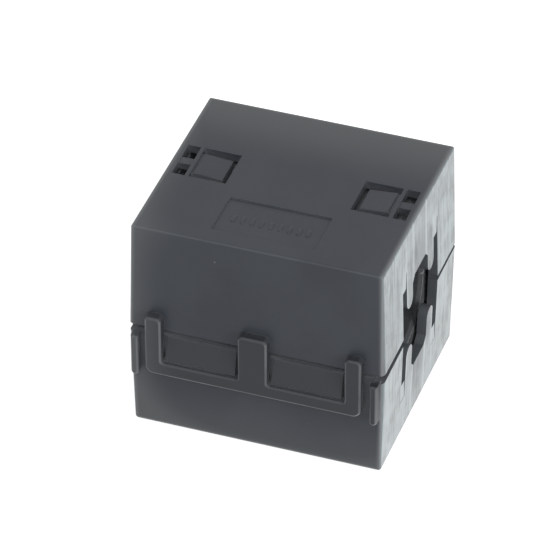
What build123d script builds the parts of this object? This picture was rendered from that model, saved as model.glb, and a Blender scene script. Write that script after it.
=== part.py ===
from build123d import *

import os
from math import pi, radians, tan

# A clip-on ferrite bead: two half cores held in a plastic case that snaps shut round a cable.
# Millimetres. X runs along the cable, +Y points to the hinge side and +Z up.
# The origin is the centre of the cable bore, on the plane where the two half cores meet.

# Half cores
core_length = 30.4
core_depth = 26.6
core_height = 13.15
core_gap = 0.1
bore_radius = 6.5
bore_edge_chamfer = 0.5
core_corner_radius = 0.8
core_end_chamfer = 1.0

# Walls of the case
wall = 1.2
end_wall = 1.3
core_clearance = 0.25
upper_headroom = 0.91
lower_headroom = 1.64
draft = 1.5
case_corner_radius = 0.7
cavity_corner_radius = 0.8
top_edge_radius = 0.35
bottom_edge_radius = 0.6

# Parting line, with a gap that opens from the hinge side to the latch side and is wider at the ends
upper_rim = -0.1
hinge_side_gap = 0.05
latch_side_gap = 0.65
end_wall_gap = 1.25
end_wall_back_gap = 0.6

# Cable opening of each end wall: a notch between two fingers, and a slot beside each finger
notch_width = 6.2
notch_chamfer = 0.9
finger_width = 2.4
finger_tip_height = 3.15
slot_width = 1.65
slot_height = 6.95
slot_depth = 7.85
groove_height = 2.6
groove_depth = 0.06

# Spring windows of the roof and the floor, each with a tongue on a crossbar
window_length = 7.3
window_width = 6.4
window_offset = 0.6
window_end_margin = 1.05
crossbar_width = 0.5
pocket_length = 1.75
stem_width = 1.3
stem_sink = 0.15
tongue_width = 4.4
tongue_end_gap = 0.75
tongue_thickness = 0.95
tongue_sink = 0.35
tongue_edge_radius = 0.15
tongue_groove_width = 0.45
tongue_groove_depth = 0.25
press_pad_length = 1.4
press_pad_width = 2.6
press_pad_clearance = 0.05

# Sunk panel of the roof
panel_length = 13.8
panel_width = 7.1
panel_front_margin = 2.55
panel_depth = 0.2

# Latch: an E-shaped frame that hangs from the upper half and hooks under two catches
latch_thickness = 1.4
latch_clearance = 0.05
latch_leg_width = 2.25
latch_centre_width = 4.0
latch_leg_rise = 2.6
latch_bar_height = 1.95
latch_bar_drop = 3.75
latch_corner_radius = 1.15
latch_leg_radius = 0.7
latch_inner_radius = 0.4
latch_edge_radius = 0.45

# Catches and guard ribs of the lower half
catch_play = 0.1
catch_side_play = 0.45
catch_top_reach = 0.1
catch_reach = 1.1
catch_land = 0.45
catch_release = 0.15
catch_rim_drop = 0.1
catch_edge_radius = 0.25
guard_width = 1.05
guard_play = 1.0
guard_end_margin = 0.55
guard_reach = 1.15
guard_rim_drop = 0.45
guard_overhang = 1.0
guard_edge_radius = 0.4

# Living hinge: two straps that loop from pads on the upper half to pads on the lower half
strap_width = 9.0
strap_end_margin = 4.0
strap_thickness = 0.4
strap_loop_radius = 0.7
strap_leg = 0.2
hinge_pad_thickness = 0.6
hinge_pad_margin = 0.6
hinge_pad_gap = 0.7
hinge_pad_height = 2.0

# Sizes that follow from the ones above
half_gap = core_gap / 2
core_top = half_gap + core_height
upper_top = core_top + upper_headroom + wall
lower_bottom = core_top + lower_headroom + wall
lower_rim = upper_rim - hinge_side_gap
lean = tan(radians(draft))
tallest_half = max(upper_top - wall - upper_rim, lower_bottom - wall + lower_rim)
cavity_length = core_length + 2 * (core_clearance + tallest_half * lean)
cavity_depth = core_depth + 2 * (core_clearance + tallest_half * lean)
case_length = cavity_length + 2 * end_wall
case_depth = cavity_depth + 2 * wall
front = -case_depth / 2
back = case_depth / 2
latch_rim = upper_rim - latch_side_gap
hinge_z = (upper_rim + lower_rim) / 2
hinge_face = back + hinge_pad_thickness
hinge_y = hinge_face + (pi * strap_loop_radius + 2 * strap_leg) / 2
strap_middle = case_length / 2 - strap_end_margin - strap_width / 2
guard_inner = case_length / 2 - guard_end_margin - guard_width
latch_width = 2 * (guard_inner - guard_play)
latch_top = upper_rim + latch_leg_rise
bar_top = latch_rim - latch_bar_drop
bar_bottom = bar_top - latch_bar_height
over = 1.0


def block(x, y, z):
    """A box from three (low, high) pairs."""
    centre = Pos(sum(x) / 2, sum(y) / 2, sum(z) / 2)
    return centre * Box(x[1] - x[0], y[1] - y[0], z[1] - z[0])


def drafted_block(length, depth, radius, low, high):
    """A block with rounded corners whose sides lean in by the draft as it rises."""
    outline = RectangleRounded(length, depth, radius)
    return Pos(0, 0, low) * extrude(outline, amount=high - low, taper=draft)


def both_ends(piece):
    """A piece at the +X end with its mirror image at the other end."""
    return piece + mirror(piece, about=Plane.YZ)


def nearest(vertices, places):
    """The vertices that lie where the given ones lay."""
    return [vertices.sort_by_distance(place)[0] for place in places]


def cable_opening(rim, height):
    """The cut through both end walls, in the sense of the upper half, up to a height."""
    outer = notch_width / 2 + finger_width + slot_width
    opening = Pos(0, (rim - over + height) / 2) * Rectangle(2 * outer, height - rim + over)
    radius = finger_width / 2
    shank = height - finger_tip_height - radius
    for side in (-1, 1):
        middle = side * (notch_width / 2 + radius)
        root = side * notch_width / 2
        opening -= Pos(middle, height - shank / 2) * Rectangle(finger_width, shank)
        opening -= Pos(middle, finger_tip_height + radius) * Circle(radius)
        opening -= make_face(
            Polyline(
                (root, height),
                (root - side * notch_chamfer, height),
                (root, height - notch_chamfer),
                close=True,
            )
        )
    return extrude(Plane.YZ * opening, amount=case_length, both=True)


def slot_grooves(rim, low):
    """Shallow grooves that run on above the slots, on the outside of both end walls."""
    high = low + groove_height
    face = case_length / 2 - ((low + high) / 2 - rim) * lean
    inner = notch_width / 2 + finger_width
    grooves = Part()
    for side in (-1, 1):
        y = sorted((side * inner, side * (inner + slot_width)))
        grooves += block((face - groove_depth, face + over), y, (low, high))
    return both_ends(grooves)


def spring_windows(rim, top):
    """The cuts of the two windows, each in two parts with a crossbar left between them."""
    end = case_length / 2 - (top - rim) * lean - window_end_margin
    start = end - window_length
    y = (window_offset - window_width / 2, window_offset + window_width / 2)
    z = (top - wall - over / 2, top + over)
    bar = end - pocket_length
    return both_ends(block((bar, end), y, z) + block((start, bar - crossbar_width), y, z))


def spring_tongues(rim, top):
    """The tongues that sink from their crossbars towards the core and press on it with a pad."""
    end = case_length / 2 - (top - rim) * lean - window_end_margin
    root = end - pocket_length - crossbar_width / 2
    tip = end - window_length + tongue_end_gap
    drop = top - tongue_sink
    side_view = make_face(
        Polyline(
            (root, top),
            (tip, drop),
            (tip, drop - tongue_thickness),
            (root, top - tongue_thickness),
            close=True,
        )
    )
    tongue = extrude(Plane.XZ * side_view, amount=tongue_width / 2, both=True)
    upper_edges = tongue.faces().sort_by(Axis.Z)[-1].edges()
    tongue = fillet(upper_edges.sort_by(Axis.X)[:-1], tongue_edge_radius)
    bar_side = end - pocket_length - crossbar_width
    tongue -= block(
        (bar_side - tongue_groove_width, bar_side),
        (-tongue_width, tongue_width),
        (top - tongue_groove_depth, top + over),
    )
    pad = block(
        (tip, tip + press_pad_length),
        (-press_pad_width / 2, press_pad_width / 2),
        (core_top + press_pad_clearance, drop - tongue_thickness / 2),
    )
    stem_top = top - stem_sink
    stem = block(
        (root, end + end_wall / 2),
        (-stem_width / 2, stem_width / 2),
        (stem_top - tongue_thickness, stem_top),
    )
    return both_ends(Pos(0, window_offset, 0) * (tongue + pad + stem))


def half_case(rim, top, edge_radius, opening_height):
    """One half of the case, in the sense of the upper half: open below, roof above."""
    shell = drafted_block(case_length, case_depth, case_corner_radius, rim, top)
    shell = fillet(shell.faces().sort_by(Axis.Z)[-1].edges(), edge_radius)
    shell -= drafted_block(cavity_length, cavity_depth, cavity_corner_radius, rim, top - wall)
    shell -= cable_opening(rim, opening_height)
    shell -= slot_grooves(rim, opening_height)
    shell -= spring_windows(rim, top)
    return shell + spring_tongues(rim, top)


def hinge_pads(side):
    """The pads that carry the straps, on the upper half (side 1) or the lower half (side -1)."""
    z = sorted((hinge_z + side * hinge_pad_gap / 2, hinge_z + side * hinge_pad_height))
    width = strap_width + 2 * hinge_pad_margin
    pads = Part()
    for middle in (-strap_middle, strap_middle):
        pads += block((middle - width / 2, middle + width / 2), (back - wall / 2, hinge_face), z)
    return pads


def hinge_strap(middle):
    """One strap of the living hinge: a thin band that loops out from pad to pad."""
    outer = strap_loop_radius + strap_thickness / 2
    inner = strap_loop_radius - strap_thickness / 2
    loop = Pos(strap_leg / 2, 0) * Rectangle(strap_leg, 2 * outer) + Pos(strap_leg, 0) * Circle(outer)
    loop -= Pos(strap_leg / 2, 0) * Rectangle(strap_leg, 2 * inner) + Pos(strap_leg, 0) * Circle(inner)
    loop &= Pos(outer, 0) * Rectangle(2 * outer, 2 * outer)
    band = extrude(Plane.YZ * loop, amount=strap_width / 2, both=True)
    return Pos(middle, hinge_face, hinge_z) * band


def sunk_panel():
    """The shallow recess of the roof, near the latch side."""
    y = front + (upper_top - upper_rim) * lean + panel_front_margin
    x = (-panel_length / 2, panel_length / 2)
    return block(x, (y, y + panel_width), (upper_top - panel_depth, upper_top + over))


def upper_case():
    """The half with the sunk panel, whose front wall carries the latch."""
    case = half_case(upper_rim, upper_top, top_edge_radius, slot_height)
    return case - sunk_panel() + hinge_pads(1)


def rim_slopes():
    """What the gap at the parting line takes off the rims of the lower half."""
    inside = cavity_length / 2
    high = lower_rim + over
    end_low = upper_rim - end_wall_gap
    back_low = upper_rim - end_wall_back_gap
    slope = make_face(
        Polyline((back + over, back_low), (back + over, high), (front - over, high),
                 (front - over, end_low), (front, end_low), (back, back_low), close=True)
    )
    end_cut = Pos(inside, 0, 0) * extrude(Plane.YZ * slope, amount=end_wall + over)
    front_cut = block((-inside, inside), (front - over, front + wall), (latch_rim, high))
    return both_ends(end_cut) + front_cut


def catch():
    """One catch: a ramp that swells out of the front wall and ends in a shoulder above the bar."""
    inner = latch_centre_width / 2 + catch_side_play
    outer = latch_width / 2 - latch_leg_width - catch_side_play
    top = latch_rim - catch_rim_drop
    shoulder = bar_top + catch_play
    side_view = make_face(
        Polyline(
            (front + wall / 2, top),
            (front - catch_top_reach, top),
            (front - catch_reach, shoulder + catch_land),
            (front - catch_reach, shoulder + catch_release),
            (front, shoulder),
            (front + wall / 2, shoulder),
            close=True,
        )
    )
    ramp = Pos(inner, 0, 0) * extrude(Plane.YZ * side_view, amount=outer - inner)
    land = ramp.faces().sort_by(Axis.Y)[0]
    return fillet(land.edges().filter_by(Axis.X).sort_by(Axis.Z)[0], catch_edge_radius)


def guard_rib():
    """One of the two ribs that stand beside the latch, rounded at its foot."""
    middle = guard_inner + guard_width / 2
    top = latch_rim - guard_rim_drop
    foot = bar_bottom - guard_overhang + guard_width / 2
    outline = Pos(middle, (top + foot) / 2) * Rectangle(guard_width, top - foot)
    outline += Pos(middle, foot) * Circle(guard_width / 2)
    rib = Pos(0, front - guard_reach, 0) * extrude(Plane.XZ * outline, amount=-guard_reach - wall / 2)
    return fillet(rib.faces().sort_by(Axis.Y)[0].edges(), guard_edge_radius)


def lower_case():
    """The half with the catches and the guard ribs."""
    upturned = half_case(-lower_rim, lower_bottom, bottom_edge_radius, slot_depth)
    case = mirror(upturned, about=Plane.XY)
    case -= rim_slopes()
    return case + both_ends(catch() + guard_rib()) + hinge_pads(-1)


def latch_frame():
    """The E-shaped frame: a bar below, two side legs and a centre leg."""
    half = latch_width / 2
    outline = Pos(0, (latch_top + bar_bottom) / 2) * Rectangle(latch_width, latch_top - bar_bottom)
    inner = latch_centre_width / 2
    outer = half - latch_leg_width
    for side in (-1, 1):
        middle = side * (inner + outer) / 2
        height = latch_top + over - bar_top
        outline -= Pos(middle, bar_top + height / 2) * Rectangle(outer - inner, height)
    foot_corners, inner_corners, leg_corners = outline.vertices().group_by(Axis.Y)
    outline = fillet(foot_corners, latch_corner_radius)
    outline = fillet(outline.vertices().group_by(Axis.Y)[-1], latch_leg_radius)
    outline = fillet(nearest(outline.vertices(), inner_corners), latch_inner_radius)
    face = front - latch_clearance
    frame = Pos(0, face, 0) * extrude(Plane.XZ * outline, amount=latch_thickness)
    return fillet(frame.faces().sort_by(Axis.Y)[0].edges(), latch_edge_radius)


def half_core():
    """One half of the ferrite, in the sense of the upper half, with half of the round bore."""
    section = Pos(0, half_gap + core_height / 2) * Rectangle(core_depth, core_height)
    section = fillet(section.vertices().group_by(Axis.Y)[-1], core_corner_radius)
    section -= Circle(bore_radius)
    core = extrude(Plane.YZ * section, amount=core_length / 2, both=True)
    ends = core.faces().filter_by(Axis.X)
    bore_edges = [end.edges().filter_by(GeomType.CIRCLE).sort_by(Edge.length)[-1] for end in ends]
    core = chamfer(bore_edges, bore_edge_chamfer)
    side_view = Pos(0, half_gap + core_height / 2) * Rectangle(core_length, core_height)
    side_view = chamfer(side_view.vertices().group_by(Axis.Y)[-1], core_end_chamfer)
    return core & extrude(Plane.XZ * side_view, amount=core_depth, both=True)


nodes = {
    "lower_case": lower_case(),
    "upper_case": upper_case(),
    "latch_frame": latch_frame(),
    "lower_core": mirror(half_core(), about=Plane.XY),
    "upper_core": half_core(),
    "hinge_strap_left": hinge_strap(-strap_middle),
    "hinge_strap_right": hinge_strap(strap_middle),
}

os.makedirs("parts", exist_ok=True)
for name, piece in nodes.items():
    export_step(piece, f"parts/{name}.step")
print(f"case {case_length:.2f} x {case_depth:.2f}, from {-lower_bottom:.2f} to {upper_top:.2f}")
print(f"hinge axis at y {hinge_y:.3f}, z {hinge_z:.3f}")
print(f"latch root at y {front - latch_clearance:.3f}, z {latch_top:.3f}")
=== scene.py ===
import bpy
import numpy as np
from mathutils import Matrix, Vector


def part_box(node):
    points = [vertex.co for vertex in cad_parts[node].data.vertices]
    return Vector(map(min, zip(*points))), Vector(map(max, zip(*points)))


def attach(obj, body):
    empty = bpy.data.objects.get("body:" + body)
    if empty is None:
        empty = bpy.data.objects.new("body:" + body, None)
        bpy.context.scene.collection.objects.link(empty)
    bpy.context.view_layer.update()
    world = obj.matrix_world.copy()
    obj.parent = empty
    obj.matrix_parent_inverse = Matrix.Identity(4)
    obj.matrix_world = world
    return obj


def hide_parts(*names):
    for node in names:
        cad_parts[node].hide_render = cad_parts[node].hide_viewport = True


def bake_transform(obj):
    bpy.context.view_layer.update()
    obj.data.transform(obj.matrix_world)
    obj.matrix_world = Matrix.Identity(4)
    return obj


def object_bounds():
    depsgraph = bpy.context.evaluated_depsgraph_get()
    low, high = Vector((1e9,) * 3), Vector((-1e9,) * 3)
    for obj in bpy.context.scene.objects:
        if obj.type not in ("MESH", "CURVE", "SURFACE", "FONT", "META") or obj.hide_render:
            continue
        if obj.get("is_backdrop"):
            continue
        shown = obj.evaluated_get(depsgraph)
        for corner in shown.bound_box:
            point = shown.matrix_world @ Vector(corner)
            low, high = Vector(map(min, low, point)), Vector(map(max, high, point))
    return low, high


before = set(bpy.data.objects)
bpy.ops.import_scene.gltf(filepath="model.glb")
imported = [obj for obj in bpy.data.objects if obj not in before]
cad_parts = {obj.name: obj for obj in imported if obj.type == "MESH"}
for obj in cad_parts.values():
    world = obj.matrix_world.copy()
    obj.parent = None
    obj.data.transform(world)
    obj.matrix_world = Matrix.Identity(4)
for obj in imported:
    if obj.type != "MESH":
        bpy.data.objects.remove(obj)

bl_info = {
    "name": "Clip-on Ferrite Bead",
    "version": (1, 0, 0),
    "blender": (4, 5, 0),
    "location": "View3D > Sidebar > Bead",
    "description": "Finishes, hinge straps and stage of a clip-on ferrite bead",
    "category": "Object",
}

MM = 0.001
CAD_LOW, CAD_HIGH = (tuple(corner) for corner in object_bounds())
MOULDED_NODES = ("lower_case", "upper_case", "latch_frame")
CORE_NODES = ("lower_core", "upper_core")
STRAP_NODES = ("hinge_strap_left", "hinge_strap_right")

# Half sizes of the case at its parting line and of the cores. The walls lean in by WALL_LEAN for
# each unit of height.
CASE_HALF_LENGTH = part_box("upper_case")[1].x
CASE_HALF_DEPTH = -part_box("upper_case")[0].y
CORE_HALF_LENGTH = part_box("upper_core")[1].x
CORE_HALF_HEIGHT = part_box("upper_core")[1].z
WALL_LEAN = 0.026

# The upright bands of the painted reflection that carry on from the cable opening: where each lies
# across and up the end wall, how soft its edges are, and how strong it is at the foot and at the top
SLOT_Y, SLOT_Y_EDGE = (4.9 * MM, 7.6 * MM), 0.7 * MM
SLOT_Z, SLOT_Z_EDGE = (4 * MM, 12 * MM), 2.6 * MM
FINGER_Y, FINGER_Y_EDGE = (2.7 * MM, 5.2 * MM), 0.4 * MM
FINGER_Z, FINGER_STRENGTH = (5.5 * MM, 12 * MM), (0.8, 0.2)
NOTCH_Y = (2 * MM, 2.3 * MM)
NOTCH_Z, NOTCH_STRENGTH = (8 * MM, 14 * MM), (1.3, 0.4)
NOTCH_SIDE_Y, NOTCH_SIDE_Y_EDGE = (2.3 * MM, 3.1 * MM), 0.3 * MM
NOTCH_SIDE_Z, NOTCH_SIDE_STRENGTH = (7.5 * MM, 9 * MM), (0.0, 0.8)

# Where the finish changes, as the start and the end of a soft step. Places are from the centre of
# the bore: x along it, y across it to the back and z up.
END_WALL_X = (CASE_HALF_LENGTH - 0.9 * MM, CASE_HALF_LENGTH - 0.6 * MM)
END_WALL_CORNER_Y = (CASE_HALF_DEPTH - 0.25 * MM, CASE_HALF_DEPTH - 0.05 * MM)
# Where the painted reflection on the end walls is dimmed
DIMMED_Y = (-9 * MM, -7.4 * MM)
DIMMED_FOOT_Z = (0, 0.5 * MM)
DIMMED_TOP_Z = (8 * MM, 13 * MM)
OPENING_Y = (7.5 * MM, 8 * MM)
OPENING_Z = (9.5 * MM, 10 * MM)
PROUD_Y = (-CASE_HALF_DEPTH - 0.02 * MM, -CASE_HALF_DEPTH - 0.22 * MM)
REAR_Y = (3 * MM, 15 * MM)
ROOF_Z = (CAD_HIGH[2] - 1.3 * MM, CAD_HIGH[2] - 0.3 * MM)
FOOT_Z = (CAD_LOW[2], CAD_LOW[2] / 2)
BACK_HALF_Y = (-1 * MM, 1 * MM)
LOWER_HALF_Z = (1 * MM, -1 * MM)
INNER_PLANE = (CORE_HALF_HEIGHT, CORE_HALF_HEIGHT + 0.8 * MM)
INNER_Y = (CASE_HALF_DEPTH - 0.5 * MM, CASE_HALF_DEPTH - 0.1 * MM)
INNER_Z = (10.5 * MM, 12 * MM)
CORE_END_X = (CORE_HALF_LENGTH - 0.4 * MM, CORE_HALF_LENGTH - 0.2 * MM)
MEETING_Z = (0.1 * MM, 0.3 * MM)

# The two ends of a step that goes down
FALLING = (1.0, 0.0)

# How far the roughness swings below and above its mean
NYLON_SWING = (-0.05, 0.06)
FERRITE_SWING = (-0.08, 0.1)

# Refractive indices of the nylon, of the polish over it and of the ferrite
NYLON_IOR, POLISH_IOR, FERRITE_IOR = 1.52, 1.6, 1.6

# Rings of points along a surface and points round each ring
STRAP_RINGS, STRAP_COLUMNS = 49, 20
PILLOW_RINGS, PILLOW_COLUMNS = 9, 32

# How far from its middle a strap is thin, as a share of its length
WAIST_SPREAD = 0.22

# Width of the camera's sensor in millimetres
SENSOR_WIDTH = 36.0


# Settings

def length_setting(name, description, default):
    """A length in metres."""
    return bpy.props.FloatProperty(name=name, description=description, default=default,
                                   unit="LENGTH", precision=6)


def place_setting(name, description, default):
    """A place in metres from the centre of the bore."""
    return bpy.props.FloatVectorProperty(name=name, description=description, default=default,
                                         size=3, subtype="XYZ", unit="LENGTH", precision=6)


def share_setting(name, description, default):
    """A share from 0 to 1."""
    return bpy.props.FloatProperty(name=name, description=description, default=default,
                                   min=0, max=1, subtype="FACTOR")


def colour_setting(name, description, default):
    """A colour as its red, green and blue light."""
    return bpy.props.FloatVectorProperty(name=name, description=description, default=default,
                                         size=3, min=0, max=1, subtype="COLOR")


def number_setting(name, description, default):
    """A plain number."""
    return bpy.props.FloatProperty(name=name, description=description, default=default)


class NylonSettings(bpy.types.PropertyGroup):
    """The moulded black nylon of the case, the latch and the hinge straps"""
    dark: colour_setting("Dark", "Colour of the nylon", (0.033, 0.037, 0.047))
    light: colour_setting("Light", "Colour of its paler clouds", (0.041, 0.046, 0.055))
    cloud_size: length_setting("Clouds", "Size of the tone clouds", 9 * MM)
    # Painted shade: the latch, the catches and the guard ribs, which stand proud of the front, are painted
    # darker
    proud_shade: colour_setting("Proud", "Colour of the latch and the catches", (0.028, 0.03, 0.035))
    # Painted light: paler towards the edges and corners of the faces, away from the least lit place, and on
    # the rear of the roof and low on the walls
    lightened: colour_setting("Handled", "Colour of the nylon near its edges", (0.084, 0.089, 0.094))
    least_lit: place_setting("Least handled", "Place that the handled edges lie away from",
                                 (3 * MM, 0, 2 * MM))
    # Painted highlight: a paler rim along the edges of the case
    rim: colour_setting("Rim", "Colour of the nylon along the edges of the case", (0.16, 0.167, 0.172))
    rim_width: length_setting("Rim width", "Width of that paler rim", 0.8 * MM)
    # Painted light: the faces inside the case are painted paler where real shade falls
    inner_light: colour_setting("Bloom", "Colour of the nylon inside the case", (0.085, 0.092, 0.1))
    # Painted highlight: the edges are painted paler, most where they face down
    edge_highlight: colour_setting("Burnished", "Colour of its worn edges", (0.3, 0.31, 0.325))
    # Painted light in narrow recesses, where real shade falls; the same colour paints the real dust specks
    dust_and_recess_light: colour_setting("Dust", "Colour of the dust in its recesses", (0.29, 0.3, 0.315))
    recess_light_share: share_setting("Dust share", "How much of a deep recess the dust covers", 0.7)
    recess_light_reach: length_setting("Dust reach", "Width of the recesses that keep dust", 3 * MM)
    # Painted light low on the walls, as a share of the paler colour above
    foot_light: share_setting("Low dust", "How much dust lies at the foot of the walls", 0.4)
    speck_spacing: length_setting("Speck spacing", "Mean distance between two dust specks", 2.6 * MM)
    speck_size: length_setting("Specks", "Size of the largest dust specks", 0.12 * MM)
    speck_share: share_setting("Speck share", "How well a speck covers the nylon", 0.5)
    roughness: share_setting("Roughness", "Mean roughness of the skin", 0.42)
    # Lowers the roughness along the painted edge highlights
    edge_polish: share_setting("Edge polish", "How much smoother a worn edge is", 0.15)
    edge_radius: length_setting("Edge", "Rounding that the light sees on sharp edges", 0.12 * MM)
    grain_size: length_setting("Grain", "Size of the moulded grain", 0.22 * MM)
    grain_depth: length_setting("Grain depth", "Depth of the moulded grain", 0.004 * MM)


class EndReflectionSettings(bpy.types.PropertyGroup):
    """The painted reflection on the two end walls, under a real sheen and polish, which shows at a low angle
    """
    # Painted reflection: these pale colours stand in for the white surroundings that the end walls reflect
    # at a low angle
    colour: colour_setting("Colour", "Mean colour of the rubbed skin", (0.155, 0.22, 0.238))
    pale: colour_setting("Pale", "Colour of its palest bands", (0.3, 0.37, 0.39))
    darkest: share_setting("Darkest", "The darkest marks as a share of the mean colour", 0.65)
    palest: number_setting("Palest", "The palest marks as a multiple of the mean colour", 1.3)
    band_tone: share_setting("Band tone", "How far a pale band takes its palest colour", 0.7)
    band_share: share_setting("Band share", "How much more of a pale band is rubbed", 0.2)
    share: share_setting("Share", "Least share of the rubbed skin between the marks", 0.65)
    face_on: share_setting("Face on", "How much of the rubbing shows when seen face on", 0.17)
    low_angle: number_setting("Low angle", "Tilt at which all of the rubbing shows, 1 being edge on", 0.72)
    # How much the painted reflection is dimmed ahead of the slots on the upper half
    dimming_tone: share_setting("Shelter tone", "How much darker the sheltered marks are", 0.4)
    dimming_share: share_setting("Shelter share", "How much less the sheltered skin is rubbed", 0.08)
    sheen: share_setting("Sheen", "Sheen of the rubbed skin at a low angle", 0.9)
    sheen_roughness: share_setting("Sheen roughness", "Spread of that sheen", 0.35)
    gloss: share_setting("Gloss", "Weight of the polish over the rubbed skin", 1.0)
    width: length_setting("Width", "Width of one upright rub mark", 0.35 * MM)
    length: length_setting("Length", "Length of one upright rub mark", 7 * MM)
    patch_size: length_setting("Patches", "Size of the patches that break the marks up", 3.6 * MM)


class FerriteSettings(bpy.types.PropertyGroup):
    """The sintered half cores"""
    dark: colour_setting("Dark", "Colour of the ferrite", (0.05, 0.054, 0.058))
    light: colour_setting("Light", "Colour of its specks", (0.105, 0.112, 0.118))
    ground: colour_setting("Ground", "Colour of the ground mating faces", (0.13, 0.13, 0.14))
    scratch_tone: share_setting("Scratch tone", "A grinding mark as a share of that colour", 0.7)
    # Painted light on the ferrite in narrow recesses near the walls of the case, where real shade falls
    dust_and_recess_light: colour_setting("Dust", "Colour of the dust near the walls of the case", (0.26, 0.28, 0.29))
    recess_light_share: share_setting("Dust share", "How much of a deep recess the dust covers", 0.8)
    recess_light_reach: length_setting("Dust reach", "Width of the recesses that keep dust", 4 * MM)
    # Painted highlight along the sharp edges at the ends of the cores
    edge: colour_setting("Edge", "Colour of the sharp edges at its ends", (0.62, 0.63, 0.64))
    edge_radius: length_setting("Edge radius", "Width of the pale line along a sharp edge", 0.2 * MM)
    roughness: share_setting("Roughness", "Mean roughness of the ferrite", 0.7)
    polish: share_setting("Polish", "How much smoother the ground faces and the edges are", 0.2)
    speck_size: length_setting("Specks", "Size of the specks", 0.18 * MM)
    speck_depth: length_setting("Speck depth", "Depth of the specks", 0.01 * MM)
    scratch_width: length_setting("Scratches", "Width of one grinding mark", 0.06 * MM)
    scratch_length: length_setting("Scratch length", "Length of one grinding mark", 6 * MM)


class StrapSettings(bpy.types.PropertyGroup):
    """The two straps of the living hinge"""
    thickness: length_setting("Thickness", "Thickness of a strap at its ends", 0.4 * MM)
    waist: share_setting("Waist", "Thickness at the fold as a share of the ends", 0.7)
    loop_radius: length_setting("Loop radius", "Radius of the loop's middle line", 0.7 * MM)
    leg: length_setting("Leg", "Straight run between a pad and the loop", 0.2 * MM)


class PanelBarSettings(bpy.types.PropertyGroup):
    """The row of low plain bars in the sunk panel of the roof"""
    count: bpy.props.IntProperty(name="Count", description="Number of bars", default=9, min=1)
    spacing: length_setting("Spacing", "From the middle of one bar to the next", 1.25 * MM)
    width: length_setting("Width", "Width of a bar", 0.55 * MM)
    length: length_setting("Length", "Length of a bar", 1.5 * MM)
    height: length_setting("Height", "Rise of a bar above the panel", 0.12 * MM)
    panel_depth: length_setting("Panel depth", "Depth of the panel below the roof", 0.2 * MM)
    middle_y: length_setting("Middle", "Middle of the row, ahead of the bore's centre", -8.9 * MM)


class StageSettings(bpy.types.PropertyGroup):
    """The camera, the floor and the lights"""
    azimuth: number_setting("Azimuth", "Camera's turn to the right of the front, in degrees", 19.273)
    elevation: number_setting("Elevation", "Camera's height above the horizon, in degrees", 37.532)
    roll: number_setting("Roll", "Camera's roll, in degrees", -0.114)
    distance: length_setting("Distance", "From the aim point to the camera", 634.18 * MM)
    aim_drop: length_setting("Aim drop", "How far the aim point lies below the bore", 0.75 * MM)
    slide_right: length_setting("Slide right", "Camera's sideways step", -2.491 * MM)
    slide_up: length_setting("Slide up", "Camera's step up", 1.296 * MM)
    lens: number_setting("Lens", "Focal length in millimetres on a 36 mm sensor", 321.7)
    floor_size: length_setting("Floor", "Side of the floor", 4.0)
    floor_colour: colour_setting("Floor colour", "Colour of the floor", (0.8, 0.8, 0.8))
    floor_glow: number_setting("Floor glow", "White that the camera sees in the floor", 0.62)
    sky: number_setting("Sky", "Light of the surroundings", 0.55)
    sky_colour: colour_setting("Sky colour", "Colour of the surroundings", (0.97, 0.985, 1.0))
    key: number_setting("Key", "Power of the large soft light in watts", 1.5)
    key_place: place_setting("Key place", "Middle of the large soft light", (0.08, -0.4, 0.57))
    key_size: length_setting("Key size", "Side of the large soft light", 0.45)
    side: number_setting("Side", "Power of the low light at the right in watts", 1.5)
    side_place: place_setting("Side place", "Middle of the low light", (0.5, -0.28, 0.16))
    side_size: length_setting("Side size", "Side of the low light", 0.3)


# Nodes

def put(tree, kind, sockets=None, **settings):
    """A new node with its settings and its sockets, which are named or numbered. A socket given
    another node's output is joined, and any other value is set."""
    node = tree.nodes.new(kind)
    for name, value in settings.items():
        setattr(node, name, value)
    for name, value in (sockets or {}).items():
        if isinstance(value, bpy.types.NodeSocket):
            tree.links.new(value, node.inputs[name])
        else:
            node.inputs[name].default_value = value
    return node


def maths(tree, operation, first, *others):
    """The output of a Math node, or of a chain of them when there are more than two values."""
    for other in others or (0.0,):
        first = put(tree, "ShaderNodeMath", {0: first, 1: other}, operation=operation).outputs[0]
    return first


def product(tree, *values):
    """All the values multiplied together."""
    return maths(tree, "MULTIPLY", *values)


def largest(tree, *values):
    """The largest of the values."""
    return maths(tree, "MAXIMUM", *values)


def vector_maths(tree, operation, first, second):
    """The outputs of a Vector Math node: a vector, or the number named Value."""
    return put(tree, "ShaderNodeVectorMath", {0: first, 1: second}, operation=operation).outputs


def split(tree, vector):
    """The three coordinates of a vector."""
    return put(tree, "ShaderNodeSeparateXYZ", {0: vector}).outputs


def unsigned(tree, vector, axis):
    """One coordinate of a vector, without its sign."""
    return maths(tree, "ABSOLUTE", split(tree, vector)[axis])


def fade(tree, value, marks, ends=(0.0, 1.0)):
    """A smooth step of a value between two marks, from one of two ends to the other."""
    node = put(tree, "ShaderNodeMapRange",
               {"Value": value, "From Min": marks[0], "From Max": marks[1],
                "To Min": ends[0], "To Max": ends[1]},
               interpolation_type="SMOOTHSTEP")
    return node.outputs["Result"]


def band(tree, value, marks, edge):
    """1 between two marks and 0 beyond them, with soft edges."""
    start, end = marks
    return product(tree, fade(tree, value, (start, start + edge)),
                   fade(tree, value, (end - edge, end), FALLING))


def blend_colour(tree, share, first, second):
    """A mix of two colours. The Mix node has sockets for each kind of value, and 6, 7 and 2 are the
    ones for colours."""
    return put(tree, "ShaderNodeMix", {0: share, 6: first, 7: second}, data_type="RGBA").outputs[2]


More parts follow.
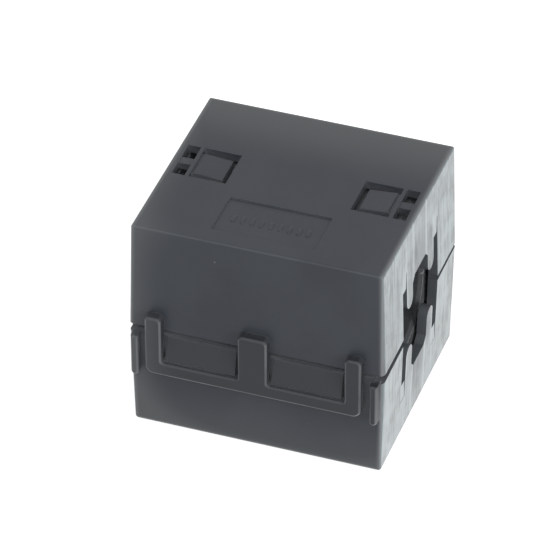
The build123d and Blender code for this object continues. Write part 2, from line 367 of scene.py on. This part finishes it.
def cloud(tree, place, size, stretch=(1, 1, 1), detail=2.0, rough=0.5):
    """Noise whose features are about one size across, drawn out along the axes by stretch."""
    scale = tuple(1 / (size * along) for along in stretch)
    mapped = put(tree, "ShaderNodeMapping", {"Vector": place, "Scale": scale}).outputs[0]
    noise = put(tree, "ShaderNodeTexNoise",
                {"Vector": mapped, "Scale": 1.0, "Detail": detail, "Roughness": rough})
    return noise.outputs["Fac"]


def uneven(tree, pattern, mean, swing):
    """A value that swings below and above its mean with a pattern."""
    return fade(tree, pattern, (0.3, 0.7), tuple(mean + way for way in swing))


def softened_normal(tree, radius):
    """The surface's direction with its sharp edges rounded."""
    return put(tree, "ShaderNodeBevel", {"Radius": radius}, samples=4).outputs[0]


def grained_normal(tree, height, depth, normal):
    """The surface's direction with a fine relief."""
    return put(tree, "ShaderNodeBump",
               {"Height": height, "Strength": 0.5, "Distance": depth, "Normal": normal}).outputs[0]


def local_normal(tree):
    """The surface's direction in the piece's own axes."""
    return put(tree, "ShaderNodeTexCoord").outputs["Normal"]


def rgba(colour, share=1.0):
    """A colour, darkened or paled by its share, as a colour socket takes it."""
    return (*(part * share for part in colour), 1.0)


def new_tree(name):
    """An empty material and its node tree."""
    material = bpy.data.materials.new(name)
    material.use_nodes = True
    material.node_tree.nodes.clear()
    return material, material.node_tree


def close_tree(tree, shader):
    """Joins the last shader to the output."""
    put(tree, "ShaderNodeOutputMaterial", {"Surface": shader})


# Places

def end_wall(tree, place):
    """1 on the flat outer faces of the two end walls and 0 elsewhere."""
    flat = fade(tree, unsigned(tree, local_normal(tree), "X"), (0.5, 0.8))
    outside = fade(tree, unsigned(tree, place, "X"), END_WALL_X)
    between = fade(tree, unsigned(tree, place, "Y"), END_WALL_CORNER_Y, FALLING)
    return product(tree, flat, outside, between)


def upright_bands(tree, place):
    """The upright bands that carry on from the cable opening: above 0 where the marks of the painted
    reflection are paler, past the slots and the sides of the notch, and below 0 where they are
    darker, on the fingers and past the notch between them."""
    across = unsigned(tree, place, "Y")
    height = unsigned(tree, place, "Z")
    slots = product(tree, band(tree, across, SLOT_Y, SLOT_Y_EDGE), band(tree, height, SLOT_Z, SLOT_Z_EDGE))
    fingers = product(tree, band(tree, across, FINGER_Y, FINGER_Y_EDGE),
                      fade(tree, height, FINGER_Z, FINGER_STRENGTH))
    notch = product(tree, fade(tree, across, NOTCH_Y, FALLING),
                    fade(tree, height, NOTCH_Z, NOTCH_STRENGTH))
    sides = product(tree, band(tree, across, NOTCH_SIDE_Y, NOTCH_SIDE_Y_EDGE),
                    fade(tree, height, NOTCH_SIDE_Z, NOTCH_SIDE_STRENGTH))
    return maths(tree, "SUBTRACT", largest(tree, slots, sides), largest(tree, fingers, notch))


def dimmed(tree, place):
    """1 on the upper half's end walls ahead of the slots, where the painted reflection is dimmer, and 0
    elsewhere.
    """
    height = split(tree, place)["Z"]
    return product(tree, fade(tree, height, DIMMED_FOOT_Z), fade(tree, height, DIMMED_TOP_Z, FALLING),
                   fade(tree, split(tree, place)["Y"], DIMMED_Y, FALLING))


def cable_opening(tree, place):
    """1 in and round the cable opening and 0 elsewhere."""
    return product(tree, fade(tree, unsigned(tree, place, "Y"), OPENING_Y, FALLING),
                   fade(tree, unsigned(tree, place, "Z"), OPENING_Z, FALLING))


def edge_light_gradient(tree, place, middle):
    """How much painted light a place gets, paler towards the edges and corners of the faces: the sum
    of the fourth powers of its distances from the least lit place, each as a share of the case's half
    size, is about 1 in the middle of a face and rises to 3 and more at a corner."""
    away = vector_maths(tree, "SUBTRACT", place, middle)[0]
    total = 0.0
    for axis, low, high in zip("XYZ", CAD_LOW, CAD_HIGH):
        share = maths(tree, "DIVIDE", unsigned(tree, away, axis), (high - low) / 2)
        total = maths(tree, "ADD", total, maths(tree, "POWER", share, 4.0))
    return fade(tree, total, (1.2, 2.8))


def case_rim_highlight(tree, place, width):
    """How much painted highlight a place on the skin gets from lying near an edge of the case where two
    of its faces meet, from 0 to 1. The walls lean in with their distance from the parting line. The
    front edge of the roof has no painted highlight."""
    height = split(tree, place)["Z"]
    leaning = product(tree, unsigned(tree, place, "Z"), WALL_LEAN)
    near = {}
    for axis, reach in (("X", CASE_HALF_LENGTH), ("Y", CASE_HALF_DEPTH)):
        unleant = maths(tree, "ADD", unsigned(tree, place, axis), leaning)
        near[axis] = fade(tree, unleant, (reach - width, reach))
    near["Z"] = largest(tree, fade(tree, height, (CAD_HIGH[2] - width, CAD_HIGH[2])),
                        fade(tree, height, (CAD_LOW[2] + width, CAD_LOW[2])))
    back_or_low = largest(tree, fade(tree, split(tree, place)["Y"], BACK_HALF_Y),
                          fade(tree, height, LOWER_HALF_Z))
    return largest(tree, product(tree, near["X"], near["Y"]), product(tree, near["X"], near["Z"]),
                   product(tree, near["Y"], near["Z"], back_or_low))


def rear_and_foot_light(tree, place, low_share):
    """How much painted light lies on the rear of the roof and low on the walls."""
    height = split(tree, place)["Z"]
    rear = product(tree, fade(tree, split(tree, place)["Y"], REAR_Y), fade(tree, height, ROOF_Z))
    return largest(tree, rear, fade(tree, height, FOOT_Z, (low_share, 0.0)))


def inner_faces(tree, place):
    """1 on the faces inside the case and 0 on its skin, on the latch and in the roof's windows: the
    plane of an inner face passes nearer to the centre than the plane of any face of the skin."""
    from_centre = vector_maths(tree, "DOT_PRODUCT", place, local_normal(tree))["Value"]
    near = fade(tree, maths(tree, "ABSOLUTE", from_centre), INNER_PLANE, FALLING)
    return product(tree, near, fade(tree, unsigned(tree, place, "Y"), INNER_Y, FALLING),
                   fade(tree, unsigned(tree, place, "Z"), INNER_Z, FALLING))


def dust_specks(tree, settings, place):
    """1 on sparse tiny specks of dust and 0 elsewhere: each cell of a scatter holds one speck,
    whose size depends on a number drawn for the cell."""
    cells = put(tree, "ShaderNodeTexVoronoi",
                {"Vector": place, "Scale": 1 / settings.speck_spacing}).outputs
    drawn = split(tree, cells["Color"])["X"]
    size = fade(tree, drawn, (0.5, 1.0), (0.0, settings.speck_size / settings.speck_spacing))
    return maths(tree, "LESS_THAN", cells["Distance"], size)


def openness(tree, reach):
    """1 where a surface lies open and 0 at the bottom of a narrow recess."""
    return put(tree, "ShaderNodeAmbientOcclusion", {"Distance": reach}, samples=6).outputs["AO"]


def painted_recess_light(tree, recess_light_share, open_share, clouds):
    """How much painted light a place gets: most in narrow recesses, where real shade falls, broken up by the
    clouds.
    """
    return product(tree, fade(tree, open_share, (0.05, 0.5), (recess_light_share, 0.0)),
                   fade(tree, clouds, (0.2, 0.6), (0.7, 1.0)))


def sharp_edges(tree, softened, marks):
    """1 along sharp edges, where the softened normal turns away from the plain one, and 0 elsewhere."""
    plain = put(tree, "ShaderNodeNewGeometry").outputs["Normal"]
    return fade(tree, vector_maths(tree, "DOT_PRODUCT", softened, plain)["Value"], marks, FALLING)


def edge_highlight_mask(tree, place, softened, open_share, clouds):
    """How much painted highlight an edge gets: where the surface lies in the open and either is a sharp
    edge or faces along none of the axes, as only the rounded edges do. Edges that face down get most
    and those that face up least, and the cable opening gets none."""
    normal = local_normal(tree)
    straight = largest(tree, *(unsigned(tree, normal, axis) for axis in "XYZ"))
    turned = largest(tree, fade(tree, straight, (0.88, 0.97), FALLING),
                     sharp_edges(tree, softened, (0.8, 0.99)))
    upward = split(tree, normal)["Z"]
    return product(tree, turned, fade(tree, upward, (-0.6, -0.1), (1.0, 0.3)),
                   fade(tree, upward, (0.1, 0.5), (1.0, 0.2)), fade(tree, open_share, (0.3, 0.6)),
                   fade(tree, clouds, (0.25, 0.6), (0.5, 1.0)),
                   maths(tree, "SUBTRACT", 1.0, cable_opening(tree, place)))


# Finishes

def nylon_tone(tree, settings, place, clouds, open_share, edge_highlights):
    """The nylon's colour: clouds, painted shade on the latch and catches, painted light towards the
    edges and corners of the faces, on the rear of the roof and low on the walls, a painted highlight
    along the edges of the case, painted light on the inside, then painted light in the recesses,
    painted highlights on the edges and real dust specks over them."""
    tone = blend_colour(tree, fade(tree, clouds, (0.35, 0.65)), rgba(settings.dark), rgba(settings.light))
    lightened = largest(tree, edge_light_gradient(tree, place, settings.least_lit),
                      rear_and_foot_light(tree, place, settings.foot_light))
    layers = (
        # Painted shade on the proud latch and catches
        (fade(tree, split(tree, place)["Y"], PROUD_Y), settings.proud_shade),
        # Painted light towards the edges, on the rear of the roof and low on the walls
        (lightened, settings.lightened),
        # Painted highlight along the edges of the case
        (case_rim_highlight(tree, place, settings.rim_width), settings.rim),
        # Painted light inside the case
        (inner_faces(tree, place), settings.inner_light),
        # Painted light in narrow recesses
        (painted_recess_light(tree, settings.recess_light_share, open_share, clouds), settings.dust_and_recess_light),
        # Painted highlights on the edges
        (edge_highlights, settings.edge_highlight),
        (product(tree, dust_specks(tree, settings, place), settings.speck_share), settings.dust_and_recess_light),
    )
    for share, colour in layers:
        tone = blend_colour(tree, share, tone, rgba(colour))
    return tone


def painted_end_reflection(tree, settings, streaks, bands, dimming, normal):
    """The painted reflection: pale streaks with paler and darker bands, under a real sheen and polish."""
    marks = maths(tree, "ADD", fade(tree, streaks, (0.42, 0.58)), bands)
    marks = maths(tree, "SUBTRACT", marks, product(tree, dimming, settings.dimming_tone))
    tone = blend_colour(tree, marks, rgba(settings.colour, settings.darkest),
                        rgba(settings.colour, settings.palest))
    tone = blend_colour(tree, product(tree, bands, settings.band_tone), tone, rgba(settings.pale))
    return put(tree, "ShaderNodeBsdfPrincipled",
               {"Base Color": tone, "Roughness": 0.5, "Normal": normal, "IOR": NYLON_IOR,
                "Sheen Weight": settings.sheen, "Sheen Roughness": settings.sheen_roughness,
                "Coat Weight": settings.gloss, "Coat Roughness": 0.25, "Coat IOR": POLISH_IOR}).outputs[0]


def end_reflection_share(tree, settings, place, streaks, bands, dimming):
    """How much of the skin shows the painted reflection, all of it on the end walls. It is mixed in by
    the angle of view, so it shows at a low angle and hardly at all face on."""
    reflecting = maths(tree, "ADD", fade(tree, streaks, (0.36, 0.54), (settings.share, 1.0)),
                   product(tree, bands, settings.band_share))
    reflecting = maths(tree, "SUBTRACT", reflecting, product(tree, dimming, settings.dimming_share))
    tilt = put(tree, "ShaderNodeLayerWeight", {"Blend": 0.5}).outputs["Facing"]
    seen = fade(tree, tilt, (0.3, settings.low_angle), (settings.face_on, 1.0))
    return product(tree, end_wall(tree, place), reflecting, seen)


def nylon_finish(settings, reflection):
    """Matt black nylon with a fine grain, whose end walls carry a pale painted reflection in upright marks.
    """
    material, tree = new_tree("bead_nylon")
    place = put(tree, "ShaderNodeTexCoord").outputs["Object"]
    clouds = cloud(tree, place, settings.cloud_size, detail=4.0)
    softened = softened_normal(tree, settings.edge_radius)
    open_share = openness(tree, settings.recess_light_reach)
    edge_highlights = edge_highlight_mask(tree, place, softened, open_share, clouds)
    tone = nylon_tone(tree, settings, place, clouds, open_share, edge_highlights)
    roughness = uneven(tree, clouds, settings.roughness, NYLON_SWING)
    roughness = maths(tree, "SUBTRACT", roughness, product(tree, edge_highlights, settings.edge_polish))
    normal = grained_normal(tree, cloud(tree, place, settings.grain_size), settings.grain_depth, softened)
    skin = put(tree, "ShaderNodeBsdfPrincipled",
               {"Base Color": tone, "Roughness": roughness, "Normal": normal, "IOR": NYLON_IOR,
                "Specular IOR Level": 0.3}).outputs[0]
    marks = cloud(tree, place, reflection.width, (1, 1, reflection.length / reflection.width), detail=3.0, rough=0.6)
    patches = cloud(tree, place, reflection.patch_size, detail=5.0, rough=0.6)
    streaks = product(tree, maths(tree, "ADD", marks, patches), 0.5)
    bands = upright_bands(tree, place)
    dimming = dimmed(tree, place)
    # The painted reflection on the end walls, mixed in by the angle of view
    reflecting = painted_end_reflection(tree, reflection, streaks, bands, dimming, normal)
    share = end_reflection_share(tree, reflection, place, streaks, bands, dimming)
    close_tree(tree, put(tree, "ShaderNodeMixShader", {0: share, 1: skin, 2: reflecting}).outputs[0])
    return material


def ferrite_finish(settings):
    """Sintered ferrite: dark, satin, with fine paler specks, ground to a fine lay where the two
    half cores meet, with a painted highlight along the sharp edges at its ends and painted light in
    its recesses."""
    material, tree = new_tree("bead_ferrite")
    place = put(tree, "ShaderNodeTexCoord").outputs["Object"]
    specks = cloud(tree, place, settings.speck_size, detail=4.0, rough=0.7)
    sintered = blend_colour(tree, fade(tree, specks, (0.5, 0.75)), rgba(settings.dark), rgba(settings.light))
    lay = (settings.scratch_length / settings.scratch_width, 1, 1)
    scratches = cloud(tree, place, settings.scratch_width, lay, detail=3.0, rough=0.6)
    lapped = blend_colour(tree, fade(tree, scratches, (0.35, 0.7)),
                          rgba(settings.ground, settings.scratch_tone), rgba(settings.ground))
    meeting = product(tree, fade(tree, unsigned(tree, local_normal(tree), "Z"), (0.95, 0.99)),
                      fade(tree, unsigned(tree, place, "Z"), MEETING_Z, FALLING))
    tone = blend_colour(tree, meeting, sintered, lapped)
    # Painted light in the recesses, where real shade falls
    open_share = openness(tree, settings.recess_light_reach)
    recess_lit = painted_recess_light(tree, settings.recess_light_share, open_share, specks)
    tone = blend_colour(tree, recess_lit, tone, rgba(settings.dust_and_recess_light))
    softened = softened_normal(tree, settings.edge_radius)
    # Painted highlight along the sharp edges at the ends
    edges = product(tree, sharp_edges(tree, softened, (0.8, 0.98)),
                    fade(tree, unsigned(tree, place, "X"), CORE_END_X))
    tone = blend_colour(tree, edges, tone, rgba(settings.edge))
    roughness = uneven(tree, specks, settings.roughness, FERRITE_SWING)
    polished = product(tree, largest(tree, meeting, edges), settings.polish)
    roughness = maths(tree, "SUBTRACT", roughness, polished)
    normal = grained_normal(tree, specks, settings.speck_depth, softened)
    skin = put(tree, "ShaderNodeBsdfPrincipled",
               {"Base Color": tone, "Roughness": roughness, "Normal": normal, "IOR": FERRITE_IOR,
                "Specular IOR Level": 0.3}).outputs[0]
    close_tree(tree, skin)
    return material


def dress(thing, material):
    """Gives a whole object one material."""
    thing.data.materials.clear()
    thing.data.materials.append(material)


# Shapes

def new_piece(name, points, faces):
    """A smooth-shaded mesh object from arrays of points and faces."""
    mesh = bpy.data.meshes.new(name)
    mesh.from_pydata(points.tolist(), [], list(faces))
    mesh.shade_smooth()
    piece = bpy.data.objects.new(name, mesh)
    bpy.context.scene.collection.objects.link(piece)
    return piece


def tube_faces(rings, columns):
    """Four-cornered faces between rings of points, closed round the columns."""
    row = np.arange(rings - 1)[:, None]
    column = np.arange(columns)[None, :]
    after = (column + 1) % columns
    corners = (row * columns + column, row * columns + after,
               (row + 1) * columns + after, (row + 1) * columns + column)
    return np.stack(np.broadcast_arrays(*corners), axis=-1).reshape(-1, 4)


def closed_faces(rings, columns):
    """Faces of a closed shell: a pole, rings of points and another pole."""
    faces = (tube_faces(rings, columns) + 1).tolist()
    column = np.arange(columns)
    after = (column + 1) % columns
    last_ring = (rings - 1) * columns + 1
    last_pole = rings * columns + 1
    faces += np.stack((np.zeros_like(column), after + 1, column + 1), axis=-1).tolist()
    faces += np.stack((last_ring + column, last_ring + after, np.full_like(column, last_pole)),
                      axis=-1).tolist()
    return faces


def squared(wave, power):
    """A cosine or sine raised to a power below one with its sign kept, which squares a circle."""
    return np.sign(wave) * np.abs(wave) ** power


def strap_points(settings, low, high, power=0.35):
    """Points of one strap: its closed section, a flat band with rounded edges, carried along the
    middle line. The middle line goes out of the lower pad by the leg, round a half circle of the
    loop's radius and back into the upper pad. Its thickness falls to the waist at the fold. At
    angle a the section is (cos a, sin a), each raised to a power below one, times half its width
    and half its thickness."""
    leg, radius = settings.leg, settings.loop_radius
    half_turn = np.pi * radius
    run = np.linspace(0, 2 * leg + half_turn, STRAP_RINGS)
    turn = np.clip((run - leg) / radius, 0, np.pi) - np.pi / 2
    out = np.where(run < leg, run, np.where(run > leg + half_turn, 2 * leg + half_turn - run, leg))
    centre_y = out + np.where((run >= leg) & (run <= leg + half_turn), radius * np.cos(turn), 0)
    centre_z = radius * np.sin(turn)
    from_fold = (run / run[-1] - 0.5) / WAIST_SPREAD
    half_thickness = settings.thickness / 2 * (1 - (1 - settings.waist) * np.exp(-from_fold ** 2))
    angle = np.linspace(0, 2 * np.pi, STRAP_COLUMNS, endpoint=False)
    across = np.broadcast_to(squared(np.cos(angle), power), (STRAP_RINGS, STRAP_COLUMNS))
    half_width = (high.x - low.x) / 2
    middle_x = (high.x + low.x) / 2
    hinge_z = (high.z + low.z) / 2
    x = middle_x + half_width * across
    offset = half_thickness[:, None] * squared(np.sin(angle), power)[None, :]
    y = low.y + centre_y[:, None] + np.cos(turn)[:, None] * offset
    z = hinge_z + centre_z[:, None] + np.sin(turn)[:, None] * offset
    return np.stack((x, y, z), axis=-1)


def make_strap(settings, node, finish):
    """One strap in the place of its plain solid, bending between the two halves of the case."""
    low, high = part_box(node)
    grid = strap_points(settings, low, high)
    ends = grid[[0, -1]].mean(axis=1)
    points = np.concatenate((ends[:1], grid.reshape(-1, 3), ends[1:]))
    piece = new_piece(node + "_band", points, closed_faces(*grid.shape[:2]))
    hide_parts(node)
    dress(piece, finish)
    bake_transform(piece)


def pillow_points(half_sizes, power=0.5):
    """Points of a squarish pillow from pole to pole. At latitude a and longitude b a point is
    (cos a cos b, cos a sin b, sin a), each cosine and sine raised to a power below one, times the
    half sizes."""
    latitude = np.linspace(-np.pi / 2, np.pi / 2, PILLOW_RINGS + 2)[:, None]
    longitude = np.linspace(0, 2 * np.pi, PILLOW_COLUMNS, endpoint=False)[None, :]
    out = np.cos(latitude) ** power
    x = out * squared(np.cos(longitude), power)
    y = out * squared(np.sin(longitude), power)
    z = squared(np.sin(latitude), power) + 0 * longitude
    grid = np.stack((x, y, z), axis=-1) * np.array(half_sizes)
    return np.concatenate((grid[0, :1], grid[1:-1].reshape(-1, 3), grid[-1, :1]))


def make_panel_bars(settings, finish):
    """A row of low rounded bars on the floor of the sunk panel."""
    panel_z = CAD_HIGH[2] - settings.panel_depth
    pillow = pillow_points((settings.width / 2, settings.length / 2, settings.height))
    pillow_faces = closed_faces(PILLOW_RINGS, PILLOW_COLUMNS)
    step = np.arange(settings.count) - (settings.count - 1) / 2
    middles = np.stack((step * settings.spacing, np.full(settings.count, settings.middle_y),
                        np.full(settings.count, panel_z)), axis=-1)
    points = (middles[:, None, :] + pillow[None, :, :]).reshape(-1, 3)
    faces = [[corner + bar * len(pillow) for corner in face]
             for bar in range(settings.count) for face in pillow_faces]
    piece = new_piece("panel_bars", points, faces)
    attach(piece, "upper")
    dress(piece, finish)


# Stage

def camera_axes(settings):
    """The camera's right, up and back directions, and its place."""
    azimuth, elevation, roll = np.radians((settings.azimuth, settings.elevation, settings.roll))
    back = Vector((np.sin(azimuth) * np.cos(elevation), -np.cos(azimuth) * np.cos(elevation),
                   np.sin(elevation)))
    level = Vector((np.cos(azimuth), np.sin(azimuth), 0))
    upright = back.cross(level)
    right = level * np.cos(roll) + upright * np.sin(roll)
    up = upright * np.cos(roll) - level * np.sin(roll)
    aim = Vector((0, 0, -settings.aim_drop))
    place = aim + back * settings.distance + right * settings.slide_right + up * settings.slide_up
    return right, up, back, place


def make_camera(settings):
    """The camera at the photographed angle."""
    right, up, back, place = camera_axes(settings)
    camera = bpy.data.objects.new("camera", bpy.data.cameras.new("camera"))
    bpy.context.scene.collection.objects.link(camera)
    camera.data.lens = settings.lens
    camera.data.sensor_width = SENSOR_WIDTH
    camera.matrix_world = Matrix.Translation(place) @ Matrix((right, up, back)).transposed().to_4x4()
    bpy.context.scene.camera = camera


def make_floor(settings):
    """A pale floor under the bead, white to the camera and to reflections, which keeps the shadow."""
    half = settings.floor_size / 2
    z = CAD_LOW[2]
    points = np.array(((-half, -half, z), (half, -half, z), (half, half, z), (-half, half, z)))
    floor = new_piece("floor", points, [(0, 1, 2, 3)])
    material, tree = new_tree("pale_floor")
    path = put(tree, "ShaderNodeLightPath").outputs
    paint = put(tree, "ShaderNodeBsdfDiffuse", {"Color": rgba(settings.floor_colour)}).outputs[0]
    glow = put(tree, "ShaderNodeEmission", {"Strength": settings.floor_glow}).outputs[0]
    lit = put(tree, "ShaderNodeAddShader", {0: paint, 1: glow}).outputs[0]
    white = put(tree, "ShaderNodeEmission", {"Strength": 1.0}).outputs[0]
    seen = put(tree, "ShaderNodeMixShader", {0: path["Is Camera Ray"], 1: paint, 2: lit}).outputs[0]
    mirrored = put(tree, "ShaderNodeMixShader", {0: path["Is Glossy Ray"], 1: seen, 2: white}).outputs[0]
    close_tree(tree, mirrored)
    dress(floor, material)
    floor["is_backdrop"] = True


def make_world(settings):
    """Even pale surroundings, white to the camera and to reflections."""
    world = bpy.data.worlds.new("studio")
    world.use_nodes = True
    tree = world.node_tree
    tree.nodes.clear()
    path = put(tree, "ShaderNodeLightPath").outputs
    soft = put(tree, "ShaderNodeBackground",
               {"Color": rgba(settings.sky_colour), "Strength": settings.sky}).outputs[0]
    white = put(tree, "ShaderNodeBackground", {"Color": rgba((1, 1, 1)), "Strength": 1.0}).outputs[0]
    direct = largest(tree, path["Is Camera Ray"], path["Is Glossy Ray"])
    mixed = put(tree, "ShaderNodeMixShader", {0: direct, 1: soft, 2: white}).outputs[0]
    put(tree, "ShaderNodeOutputWorld", {"Surface": mixed})
    bpy.context.scene.world = world


def make_light(name, place, size, power):
    """A square soft light at a place, turned to the bead."""
    lamp = bpy.data.lights.new(name, "AREA")
    lamp.size = size
    lamp.energy = power
    light = bpy.data.objects.new(name, lamp)
    bpy.context.scene.collection.objects.link(light)
    light.location = place
    light.rotation_euler = (-Vector(place)).to_track_quat("-Z", "Y").to_euler()


# Operators

class BEAD_OT_stage(bpy.types.Operator):
    """Sets up the camera, the floor, the surroundings and the lights"""
    bl_idname = "bead.stage"
    bl_label = "Stage"

    def execute(self, context):
        settings = context.scene.bead_stage
        context.scene.view_settings.view_transform = "Standard"
        make_camera(settings)
        make_floor(settings)
        make_world(settings)
        make_light("key", settings.key_place, settings.key_size, settings.key)
        make_light("side", settings.side_place, settings.side_size, settings.side)
        return {"FINISHED"}


class BEAD_OT_finishes(bpy.types.Operator):
    """Gives the moulded pieces and the half cores their finishes"""
    bl_idname = "bead.finishes"
    bl_label = "Finishes"

    def execute(self, context):
        nylon = nylon_finish(context.scene.bead_nylon, context.scene.bead_rub)
        ferrite = ferrite_finish(context.scene.bead_ferrite)
        for node in MOULDED_NODES:
            dress(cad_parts[node], nylon)
        for node in CORE_NODES:
            dress(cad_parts[node], ferrite)
        return {"FINISHED"}


class BEAD_OT_hinge_straps(bpy.types.Operator):
    """Makes the two bending straps of the living hinge"""
    bl_idname = "bead.hinge_straps"
    bl_label = "Hinge straps"

    def execute(self, context):
        for node in STRAP_NODES:
            make_strap(context.scene.bead_strap, node, bpy.data.materials["bead_nylon"])
        return {"FINISHED"}


class BEAD_OT_panel_bars(bpy.types.Operator):
    """Makes the row of plain bars in the sunk panel"""
    bl_idname = "bead.panel_bars"
    bl_label = "Panel bars"

    def execute(self, context):
        make_panel_bars(context.scene.bead_bars, bpy.data.materials["bead_nylon"])
        return {"FINISHED"}


class BEAD_PT_panel(bpy.types.Panel):
    """Lists the steps that make the bead"""
    bl_label = "Ferrite bead"
    bl_idname = "BEAD_PT_panel"
    bl_space_type = "VIEW_3D"
    bl_region_type = "UI"
    bl_category = "Bead"

    def draw(self, context):
        for step in STEPS:
            self.layout.operator(step.bl_idname)


GROUPS = {"bead_nylon": NylonSettings, "bead_rub": EndReflectionSettings, "bead_ferrite": FerriteSettings,
          "bead_strap": StrapSettings, "bead_bars": PanelBarSettings, "bead_stage": StageSettings}
STEPS = (BEAD_OT_stage, BEAD_OT_finishes, BEAD_OT_hinge_straps, BEAD_OT_panel_bars)


def register():
    """Makes the settings, the operators and the panel known to Blender."""
    for name, group in GROUPS.items():
        bpy.utils.register_class(group)
        setattr(bpy.types.Scene, name, bpy.props.PointerProperty(type=group))
    for step in STEPS + (BEAD_PT_panel,):
        bpy.utils.register_class(step)


def unregister():
    """Takes them away again, the last one first."""
    for step in reversed(STEPS + (BEAD_PT_panel,)):
        bpy.utils.unregister_class(step)
    for name, group in reversed(GROUPS.items()):
        delattr(bpy.types.Scene, name)
        bpy.utils.unregister_class(group)


def main():
    """Runs every step in order."""
    register()
    for step in STEPS:
        area, name = step.bl_idname.split(".")
        getattr(getattr(bpy.ops, area), name)()


if __name__ == "__main__":
    main()
